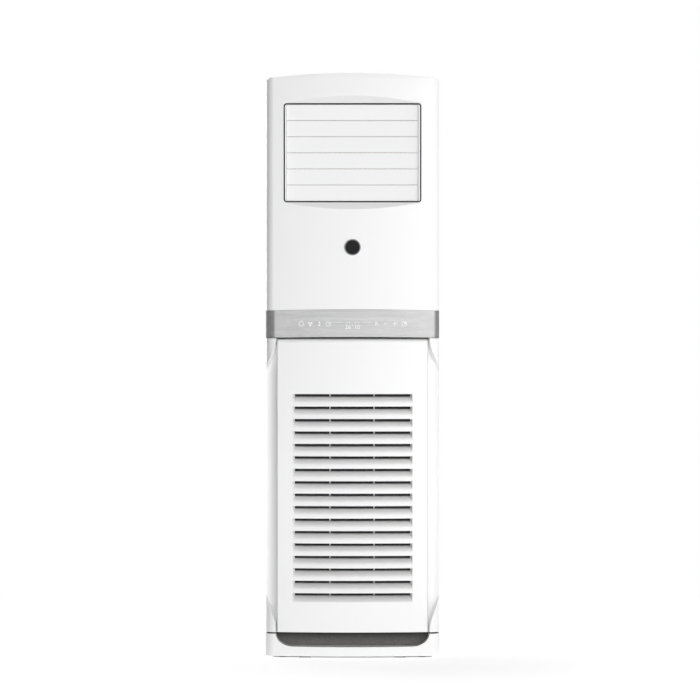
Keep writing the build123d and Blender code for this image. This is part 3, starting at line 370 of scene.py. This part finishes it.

# %% [markdown]
# Dust settles on what looks up, and drifts in near the floor. The same greying also stands as
# painted shade on faces that lean up, and on the black base tray as a painted lighter foot. Both
# are read in the object's own coordinates: the up direction from its normal and the height from its
# Z, as a share of how far up the film reaches. A noise breaks the film up, so that it doesn't look
# sprayed on.

# %% Dust and painted shade
DUST_AND_SHADE_TINT = (0.5, 0.49, 0.47, 1)
DUST_GRAIN_SCALE = 180.0
FLOOR_REACH = 75 * MM
LOOKS_UP = (0.25, 0.7)
THINS_OUT = (1.0, 0.35)
GRAIN_PART, GRAIN_COVER = (0.3, 0.7), (0.85, 1.1)
dust_and_shade, start, end = new_group(
    "dust_and_painted_shade",
    [("Color", COLOR, (0.5, 0.5, 0.5, 1)), ("On Top", FLOAT, 0.0), ("Near Floor", FLOAT, 0.0),
     ("Floor Reach", FLOAT, FLOOR_REACH)],
    [("Color", COLOR)])
place = add_node(dust_and_shade, "ShaderNodeTexCoord", (-900, -300))
facing = add_node(dust_and_shade, "ShaderNodeSeparateXYZ", (-700, -100))
height = add_node(dust_and_shade, "ShaderNodeSeparateXYZ", (-700, -300))
grain = add_node(dust_and_shade, "ShaderNodeTexNoise", (-700, -500), in_Scale=DUST_GRAIN_SCALE, in_Detail=4.0)
# Faces that look up take the film: dust, and painted shade on them
upward = ramp(dust_and_shade, (-500, 0), LOOKS_UP)
low = maths(dust_and_shade, "DIVIDE", (-500, -250))
near = ramp(dust_and_shade, (-300, -250), THINS_OUT)
top_film = maths(dust_and_shade, "MULTIPLY", (-300, 50))
floor_film = maths(dust_and_shade, "MULTIPLY", (-100, -200))
total = maths(dust_and_shade, "ADD", (50, -50))
broken = ramp(dust_and_shade, (-300, -500), GRAIN_PART, GRAIN_COVER)
cover = add_node(dust_and_shade, "ShaderNodeMath", (200, -150), operation="MULTIPLY", use_clamp=True)
# The colour is mixed towards the grey: dust, and painted shade or a painted lighter foot
dust_and_shade_mix = add_node(dust_and_shade, "ShaderNodeMix", (400, 100), data_type="RGBA")
dust_and_shade_mix.inputs["B"].default_value = DUST_AND_SHADE_TINT
wire(dust_and_shade, (place.outputs["Normal"], facing.inputs[0]), (place.outputs["Object"], height.inputs[0]),
     (place.outputs["Object"], grain.inputs["Vector"]),
     (facing.outputs["Z"], upward.inputs["Value"]),
     (height.outputs["Z"], low.inputs[0]), (start.outputs["Floor Reach"], low.inputs[1]),
     (low.outputs[0], near.inputs["Value"]), (upward.outputs["Result"], top_film.inputs[0]),
     (start.outputs["On Top"], top_film.inputs[1]), (near.outputs["Result"], floor_film.inputs[0]),
     (start.outputs["Near Floor"], floor_film.inputs[1]), (top_film.outputs[0], total.inputs[0]),
     (floor_film.outputs[0], total.inputs[1]), (grain.outputs["Fac"], broken.inputs["Value"]),
     (total.outputs[0], cover.inputs[0]), (broken.outputs["Result"], cover.inputs[1]),
     (cover.outputs[0], dust_and_shade_mix.inputs["Factor"]), (start.outputs["Color"], dust_and_shade_mix.inputs["A"]),
     (dust_and_shade_mix.outputs["Result"], end.inputs["Color"]))
print("group", dust_and_shade.name, len(dust_and_shade.nodes), "nodes")

# %% [markdown]
# The filter is a fine net. Its threads are two sets of parallel stripes, one along X and one along
# Z, found from how far a point lies from the middle of its mesh. Threads are lighter and stand up,
# and the holes between them are dark.

# %% Woven net
NET_PITCH = 1.4 * MM
THREAD_EDGE = (0.28, 0.38)
HOLE_TO_THREAD_ROUGHNESS = (0.95, 0.65)
net, start, end = new_group(
    "woven_net",
    [("Tint", COLOR, (0.1, 0.1, 0.1, 1)), ("Hole", COLOR, (0.01, 0.01, 0.01, 1)),
     ("Pitch", FLOAT, NET_PITCH)],
    [("Color", COLOR), ("Roughness", FLOAT), ("Height", FLOAT)])
place = add_node(net, "ShaderNodeTexCoord", (-900, -200))
split = add_node(net, "ShaderNodeSeparateXYZ", (-750, -200))
stripes = []
for step, side in enumerate("XZ"):
    row = -300 * step
    count = maths(net, "DIVIDE", (-600, row))
    part = maths(net, "FRACT", (-450, row))
    away = maths(net, "SUBTRACT", (-300, row), second=0.5)
    off = maths(net, "ABSOLUTE", (-150, row))
    wire(net, (split.outputs[side], count.inputs[0]), (start.outputs["Pitch"], count.inputs[1]),
         (count.outputs[0], part.inputs[0]), (part.outputs[0], away.inputs[0]),
         (away.outputs[0], off.inputs[0]))
    stripes.append(off)
farthest = maths(net, "MAXIMUM", (0, -150))
thread = ramp(net, (150, -150), THREAD_EDGE)
weave = add_node(net, "ShaderNodeMix", (350, 100), data_type="RGBA")
rough = ramp(net, (350, -200), (0.0, 1.0), HOLE_TO_THREAD_ROUGHNESS)
wire(net, (place.outputs["Object"], split.inputs[0]), (stripes[0].outputs[0], farthest.inputs[0]),
     (stripes[1].outputs[0], farthest.inputs[1]), (farthest.outputs[0], thread.inputs["Value"]),
     (thread.outputs["Result"], weave.inputs["Factor"]), (start.outputs["Hole"], weave.inputs["A"]),
     (start.outputs["Tint"], weave.inputs["B"]), (thread.outputs["Result"], rough.inputs["Value"]),
     (weave.outputs["Result"], end.inputs["Color"]),
     (rough.outputs["Result"], end.inputs["Roughness"]),
     (thread.outputs["Result"], end.inputs["Height"]))
print("group", net.name, len(net.nodes), "nodes")

# %% [markdown]
# ## Finishes
# Every finish is a Principled shader fed by one of the groups. What is the same all over a
# surface, such as how metallic it is, is set on the shader itself. What changes over the surface
# comes from the group.

# %% Finish makers
BUMP_DEPTH = 0.2 * MM
finishes = {}


def finish_from(group, name, values, bump=0.05, dusted=(0.0, 0.0), **shader):
    """A material whose colour, roughness and bump come from a group with these values."""
    material = bpy.data.materials.new(name)
    material.use_nodes = True
    tree = material.node_tree
    principled = tree.nodes["Principled BSDF"]
    effect = add_node(tree, "ShaderNodeGroup", (-600, 0), node_tree=group)
    for title, value in values.items():
        effect.inputs[title].default_value = (*value, 1) if isinstance(value, tuple) else value
    dents = add_node(tree, "ShaderNodeBump", (-300, -300), in_Strength=bump, in_Distance=BUMP_DEPTH)
    # A film of dust and painted shade over the colour
    film = add_node(tree, "ShaderNodeGroup", (-300, 100), node_tree=dust_and_shade)
    film.inputs["On Top"].default_value, film.inputs["Near Floor"].default_value = dusted
    wire(tree, (effect.outputs["Color"], film.inputs["Color"]),
         (film.outputs["Color"], principled.inputs["Base Color"]),
         (effect.outputs["Roughness"], principled.inputs["Roughness"]),
         (effect.outputs["Height"], dents.inputs["Height"]),
         (dents.outputs["Normal"], principled.inputs["Normal"]))
    for title, value in shader.items():
        principled.inputs[title.replace("_", " ")].default_value = value
    finishes[name] = material


def moulded(name, tint, gloss, grain=600.0, mottle=0.02, bump=0.05, **shader):
    """A moulding, a painted sheet or a casting; gloss is its roughness."""
    values = {"Tint": tint, "Gloss": gloss, "Grain Size": grain, "Mottle": mottle}
    finish_from(skin, name, values, bump, **shader)


def brushed(name, tint, gloss, contrast, bump=0.1, **shader):
    """A strip or sheet with fine parallel lines."""
    values = {"Tint": tint, "Gloss": gloss, "Contrast": contrast}
    finish_from(drawn, name, values, bump, **shader)


# %% [markdown]
# The casing is bright white, glossy plastic in front and on the sides. The blades of the outlet
# are a shade more matt. Inner mouldings are greyer and duller, because nobody polishes a tool for a
# part that isn't seen. The pair of numbers given for the film is its strength on top and near the
# floor: dust, and on the white casing also painted shade on the faces that lean up.

# %% White casing
moulded("white_gloss", (0.86, 0.86, 0.86), 0.32, mottle=0.006, dusted=(0.2, 0.0), Coat_Weight=0.15)
moulded("panel_white", (0.86, 0.86, 0.86), 0.33, mottle=0.006, dusted=(0.3, 0.0), Coat_Weight=0.1)
moulded("louvre_white", (0.84, 0.84, 0.84), 0.42, mottle=0.006)
moulded("painted_white", (0.84, 0.84, 0.84), 0.4, grain=420.0, mottle=0.01, bump=0.12)
print("white finishes", len(finishes))

# %% Dark trim and inner mouldings
# The base tray is near-black, dark enough that the seam gap and the scoop read as deep shade, so it
# is partly its own paint and partly painted shade. Its film near the floor greys its foot: a
# painted lighter gradient where light reaches the bottom of the scoop.
moulded("tray_black", (0.008, 0.008, 0.009), 0.75, grain=420.0, mottle=0.15, bump=0.12,
        dusted=(0.1, 0.4), Specular_IOR_Level=0.05)
moulded("trim_dark", (0.012, 0.012, 0.013), 0.6, mottle=0.1, Specular_IOR_Level=0.25)
moulded("badge_black", (0.006, 0.006, 0.007), 0.3, mottle=0.1, Specular_IOR_Level=0.2)
moulded("filter_dark", (0.02, 0.02, 0.022), 0.6, mottle=0.15, dusted=(0.2, 0.0),
        Specular_IOR_Level=0.2)
finish_from(net, "mesh_grey", {"Tint": (0.05, 0.052, 0.055), "Hole": (0.006, 0.006, 0.006)},
            bump=0.6, Specular_IOR_Level=0.15)
moulded("inner_plastic", (0.62, 0.63, 0.64), 0.5, mottle=0.05, dusted=(0.15, 0.0))
moulded("scroll_plastic", (0.1, 0.105, 0.11), 0.55, mottle=0.08, dusted=(0.2, 0.0))
moulded("foam", (0.82, 0.82, 0.8), 0.85, grain=260.0, mottle=0.06, bump=0.6)
moulded("board_green", (0.015, 0.09, 0.035), 0.35, mottle=0.2)
moulded("terminal_black", (0.02, 0.02, 0.022), 0.5, mottle=0.1)
moulded("rubber_black", (0.02, 0.02, 0.02), 0.75, grain=900.0, mottle=0.2, bump=0.3)
print("plastics", len(finishes))

# %% [markdown]
# Metals differ by how they were made. The touch band is a foil with brushed lines under a clear
# coat, so it is only partly metallic. Zinc plate has a coarse, cloudy grain, and copper is drawn
# smooth. The fan motor is a painted casting.

# %% Metals
brushed("band_brushed", (0.5, 0.5, 0.505), 0.5, contrast=0.5, Metallic=0.4)
brushed("fin_aluminium", (0.7, 0.71, 0.72), 0.35, contrast=0.1, Metallic=0.9)
moulded("badge_chrome", (0.3, 0.3, 0.31), 0.22, mottle=0.02, bump=0.01, Metallic=1.0)
moulded("steel_zinc", (0.5, 0.51, 0.52), 0.38, grain=120.0, mottle=0.25, dusted=(0.1, 0.1),
        Metallic=0.9)
moulded("motor_case", (0.035, 0.037, 0.04), 0.45, mottle=0.15, dusted=(0.2, 0.0))
moulded("small_motor", (0.55, 0.55, 0.55), 0.35, mottle=0.1, Metallic=0.8)
moulded("copper", (0.6, 0.27, 0.15), 0.32, grain=90.0, mottle=0.2, Metallic=1.0)
print("finishes", len(finishes))

# %% [markdown]
# The touch band is one drawn strip that wraps round both front corners of the cabinet. Its colour
# is painted darker towards both ends, as painted shade for the corners that turn away from the
# light. A mask on the strip's own X makes the change, so it stays in place whatever the light does.
# The painted shade on the left is the wider one, so the mask's middle lies a little right of the
# cabinet's.

# %% Painted shade on the ends of the touch band
# Where the painted shade on the band's ends lies, in metres off the mask's middle, and how dark it
# gets
BAND_SHADE_MIDDLE = 6.5 * MM
BAND_SHADE_ENDS = (229 * MM, 238 * MM)
BAND_END_SHADE = 0.42
tree = finishes["band_brushed"].node_tree
principled = tree.nodes["Principled BSDF"]
plain = principled.inputs["Base Color"].links[0].from_socket
place = add_node(tree, "ShaderNodeTexCoord", (-900, 500))
split = add_node(tree, "ShaderNodeSeparateXYZ", (-750, 500))
centred = maths(tree, "SUBTRACT", (-600, 500), second=BAND_SHADE_MIDDLE)
away = maths(tree, "ABSOLUTE", (-450, 500))
# Painted shade: the band's base colour is scaled down towards both of its ends
shade = ramp(tree, (-300, 500), BAND_SHADE_ENDS, (1.0, BAND_END_SHADE), "SMOOTHSTEP")
tinted = add_node(tree, "ShaderNodeVectorMath", (-100, 400), operation="SCALE")
wire(tree, (place.outputs["Object"], split.inputs[0]), (split.outputs["X"], centred.inputs[0]),
     (centred.outputs[0], away.inputs[0]), (away.outputs[0], shade.inputs["Value"]),
     (plain, tinted.inputs[0]), (shade.outputs["Result"], tinted.inputs["Scale"]),
     (tinted.outputs[0], principled.inputs["Base Color"]))
print("band darkens from", BAND_SHADE_ENDS[0], "to", BAND_SHADE_ENDS[1], "m off its middle")

# %% [markdown]
# ## Dress the CAD pieces
# The record names a material slot for every node, so dressing the whole machine is one loop: each
# node's mesh drops its stand-in material and takes the finish of its slot.

# %% Dress the CAD pieces
slot_of = {part["node"]: part["material_slot"] for part in frame["record"]["subparts"]}
for node, slot in slot_of.items():
    surface = nodes[node].data.materials
    surface.clear()
    surface.append(finishes[slot])
print("dressed", len(slot_of), "CAD pieces")

# %% [markdown]
# ## Soft edges
# A mould and a paint film both round every edge by a few tenths of a millimetre, and that small
# round is what catches a line of light along a panel. The CAD pieces have their large rounds, but
# their small edges are sharp. So each casing piece that the eye meets gets a twin: its loose
# triangles are merged, its flat areas joined, and a Bevel modifier rounds each sharp edge. The twin
# stands for the CAD piece in the picture, and the CAD piece stays as it is for motion and contact.

# %% Riding and dressing a new piece
bodies = frame["record"]["behaviour"]["bodies"]
body_of = {node: body for body, members in bodies.items() for node in members}


def pick(piece):
    """Make this the only selected and the active object."""
    bpy.ops.object.select_all(action="DESELECT")
    piece.select_set(True)
    bpy.context.view_layer.objects.active = piece


def belongs(piece, body, slot):
    """The piece moves with a body and wears the finish of a slot."""
    piece.data.materials.clear()
    piece.data.materials.append(finishes[slot])
    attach(piece, body)


# %% Soft edge helper
MERGE_WITHIN = 0.002 * MM
FLAT_WITHIN = math.radians(0.2)
SHARP_FROM = math.radians(35)
SMOOTH_BELOW = math.radians(32)
ROUND_STEPS = 2


def soften(node, width):
    """A twin of a CAD piece with rounded edges, which stands for it."""
    piece = bpy.data.objects.new(node + "_soft", nodes[node].data.copy())
    bpy.context.scene.collection.objects.link(piece)
    pick(piece)
    bpy.ops.object.mode_set(mode="EDIT")
    bpy.ops.mesh.select_all(action="SELECT")
    bpy.ops.mesh.remove_doubles(threshold=MERGE_WITHIN)
    bpy.ops.mesh.dissolve_limited(angle_limit=FLAT_WITHIN)
    bpy.ops.object.mode_set(mode="OBJECT")
    rounding = piece.modifiers.new("rounding", "BEVEL")
    rounding.width = width
    rounding.segments = ROUND_STEPS
    rounding.limit_method = "ANGLE"
    rounding.angle_limit = SHARP_FROM
    rounding.miter_outer = "MITER_ARC"
    bpy.ops.object.modifier_apply(modifier=rounding.name)
    bpy.ops.object.shade_smooth_by_angle(angle=SMOOTH_BELOW)
    even = piece.modifiers.new("even_normals", "WEIGHTED_NORMAL")
    even.keep_sharp = True
    bpy.ops.object.modifier_apply(modifier=even.name)
    belongs(piece, body_of[node], slot_of[node])
    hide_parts(node)
    return piece


# %% Soften the casing
SOFT_WIDTHS = {  # in millimetres
    "upper_front_panel": 0.8, "intake_panel": 0.5, "base_plinth": 0.6, "control_band": 0.4,
    "left_side_panel": 0.5, "right_side_panel": 0.5, "top_cover": 0.8, "window_trim": 0.3,
    "outlet_frame": 0.4, **{f"louvre_{number}": 0.3 for number in range(1, 7)},
}
for node, width in SOFT_WIDTHS.items():
    twin = soften(node, width * MM)
    print(twin.name, len(twin.data.polygons), "faces")

# %% [markdown]
# ## Signs on the touch band
# The band carries eight small touch signs, two thin lines and a display, all printed in white.
# Print has no depth to speak of, but a picture of it would need a file, so each sign is a film of
# 0.1 mm. Rings and bars start as a circle and a plane, flat and in front of the cabinet, and are
# laid on the bowed band afterwards: a ray along Y finds the band behind every point.

# %% Films
FILM = 0.1 * MM
IN_FRONT = -0.2
FACING_FRONT = math.radians(90)


def merge(pieces, name):
    """Join pieces into one object, with its place in its mesh."""
    pick(pieces[0])
    for piece in pieces:
        piece.select_set(True)
    bpy.ops.object.join()
    piece = bpy.context.active_object
    piece.name = piece.data.name = name
    bpy.ops.object.transform_apply(location=True, rotation=True, scale=True)
    return piece


def lay_on(piece, wall):
    """Move every point along Y onto another piece, and give the film its thickness."""
    for point in piece.data.vertices:
        hit, spot, _, _ = wall.ray_cast(Vector((point.co.x, IN_FRONT, point.co.z)),
                                        Vector((0, 1, 0)))
        if hit:
            point.co.y = spot.y
    pick(piece)
    film = piece.modifiers.new("film", "SOLIDIFY")
    film.thickness = FILM
    film.offset = 0.0
    bpy.ops.object.modifier_apply(modifier=film.name)
    bpy.ops.object.mode_set(mode="EDIT")
    bpy.ops.mesh.select_all(action="SELECT")
    bpy.ops.mesh.normals_make_consistent(inside=False)
    bpy.ops.object.mode_set(mode="OBJECT")
    return piece


# %% Rings, discs and bars
STROKE = 1.6 * MM


def ring(x, z, radius, stroke=STROKE, corners=28):
    """A flat ring: a filled circle, inset by the stroke, its middle taken out."""
    bpy.ops.object.select_all(action="DESELECT")
    bpy.ops.mesh.primitive_circle_add(vertices=corners, radius=radius, fill_type="NGON",
                                      location=(x, IN_FRONT, z), rotation=(FACING_FRONT, 0, 0))
    bpy.ops.object.mode_set(mode="EDIT")
    bpy.ops.mesh.select_all(action="SELECT")
    bpy.ops.mesh.inset(thickness=stroke)
    bpy.ops.mesh.delete(type="FACE")
    bpy.ops.object.mode_set(mode="OBJECT")
    return bpy.context.active_object


def disc(x, z, radius, corners=16):
    """A flat filled circle of few corners, such as a dot or an arrow head."""
    bpy.ops.object.select_all(action="DESELECT")
    bpy.ops.mesh.primitive_circle_add(vertices=corners, radius=radius, fill_type="TRIFAN",
                                      location=(x, IN_FRONT, z), rotation=(FACING_FRONT, 0, 0))
    return bpy.context.active_object


def bar(x, z, length, turn=0.0, stroke=STROKE, cuts=0):
    """A flat bar, turned about the line of sight, cut across where it has to bend."""
    bpy.ops.object.select_all(action="DESELECT")
    bpy.ops.mesh.primitive_plane_add(size=1.0, location=(x, IN_FRONT, z),
                                     rotation=(FACING_FRONT, math.radians(turn), 0))
    plane = bpy.context.active_object
    plane.scale = (length, stroke, 1.0)
    if cuts:
        bpy.ops.object.mode_set(mode="EDIT")
        bpy.ops.mesh.select_all(action="SELECT")
        bpy.ops.mesh.subdivide(number_cuts=cuts)
        bpy.ops.object.mode_set(mode="OBJECT")
    return plane


# %% [markdown]
# The signs are generic ones: on and off, fan, up and down, timer, swing, minus, plus and sleep.
# Each maker draws one about its middle, and all lengths in it are shares of the signs' common
# radius, so the whole row grows or shrinks with one number.

# %% Eight touch signs
SIGN_R = 7.4 * MM


def on_off(x, z):
    return [ring(x, z, SIGN_R), bar(x, z + SIGN_R, 0.7 * SIGN_R, turn=90)]


def fan_sign(x, z):
    reach = 0.6 * SIGN_R
    blades = [disc(x + reach * math.cos(turn), z + reach * math.sin(turn), 0.4 * SIGN_R)
              for turn in (0.5, 2.6, 4.7)]
    return blades + [ring(x, z, 0.3 * SIGN_R, 0.4 * STROKE)]


def arrows(x, z):
    up = disc(x, z + 0.5 * SIGN_R, 0.6 * SIGN_R, corners=3)
    down = disc(x, z - 0.5 * SIGN_R, 0.6 * SIGN_R, corners=3)
    down.rotation_euler[1] = math.radians(180)
    return [up, down]


def timer_sign(x, z):
    return [ring(x, z, SIGN_R), bar(x, z + 0.2 * SIGN_R, 0.7 * SIGN_R, turn=90),
            bar(x + 0.2 * SIGN_R, z, 0.5 * SIGN_R)]


def swing_sign(x, z):
    return [bar(x + step * 0.45 * SIGN_R, z, 1.7 * SIGN_R, turn=70 - 12 * step,
                stroke=0.8 * STROKE) for step in (-1, 0, 1)]


def minus_sign(x, z):
    return [bar(x, z, 1.6 * SIGN_R)]


def plus_sign(x, z):
    return [bar(x, z, 1.8 * SIGN_R), bar(x, z, 1.8 * SIGN_R, turn=90)]


def sleep_sign(x, z):
    return [ring(x, z, SIGN_R), disc(x + 0.35 * SIGN_R, z + 0.3 * SIGN_R, 0.45 * SIGN_R)]


# %% Place the signs
SIGN_Z = 970.5 * MM
SIGNS = {  # in millimetres from the middle of the cabinet
    -149.0: on_off, -123.0: fan_sign, -96.5: arrows, -70.5: timer_sign,
    70.0: swing_sign, 96.0: minus_sign, 123.0: plus_sign, 151.0: sleep_sign,
}
band = bpy.data.objects["control_band_soft"]
for place, maker in SIGNS.items():
    sign = merge(maker(place * MM, SIGN_Z), maker.__name__ + "_print")
    lay_on(sign, band)
    belongs(sign, body_of["control_band"], "painted_white")
    print(sign.name, len(sign.data.polygons), "faces")

# %% [markdown]
# The display shows through the band: two pairs of digits, a degree ring between them and a row of
# dots above. A thin line runs from each inner group of signs towards the display. The digits start
# as a text object, which is made a mesh before it is joined to the rest.

# %% Display and lines
DIGITS, DIGIT_Z, DIGIT_SIZE = "26  10", 955.5 * MM, 17.0 * MM
DEGREE_Z, DEGREE_R, DEGREE_STROKE = 966 * MM, 2.0 * MM, 0.8 * MM
DOT_STEP, DOT_Z, DOT_R = 8 * MM, 974 * MM, 1.8 * MM
LINES = {-45.0 * MM: 36.0 * MM, 42.0 * MM: 28.0 * MM}  # the middle and length of each
LINE_Z, LINE_STROKE, LINE_CUTS = 975.0 * MM, 1.0 * MM, 9
bpy.ops.object.select_all(action="DESELECT")
bpy.ops.object.text_add(location=(0, IN_FRONT, DIGIT_Z), rotation=(FACING_FRONT, 0, 0))
digits = bpy.context.active_object
digits.data.body = DIGITS
digits.data.size = DIGIT_SIZE
digits.data.align_x = "CENTER"
bpy.ops.object.convert(target="MESH")
printed = [bpy.context.active_object, ring(0, DEGREE_Z, DEGREE_R, DEGREE_STROKE, corners=16)]
printed += [disc(step * DOT_STEP, DOT_Z, DOT_R) for step in (-2, -1, 1, 2)]
printed += [bar(x, LINE_Z, length, stroke=LINE_STROKE, cuts=LINE_CUTS)
            for x, length in LINES.items()]
display = lay_on(merge(printed, "display_print"), band)
belongs(display, body_of["control_band"], "painted_white")
print(display.name, len(display.data.polygons), "faces")
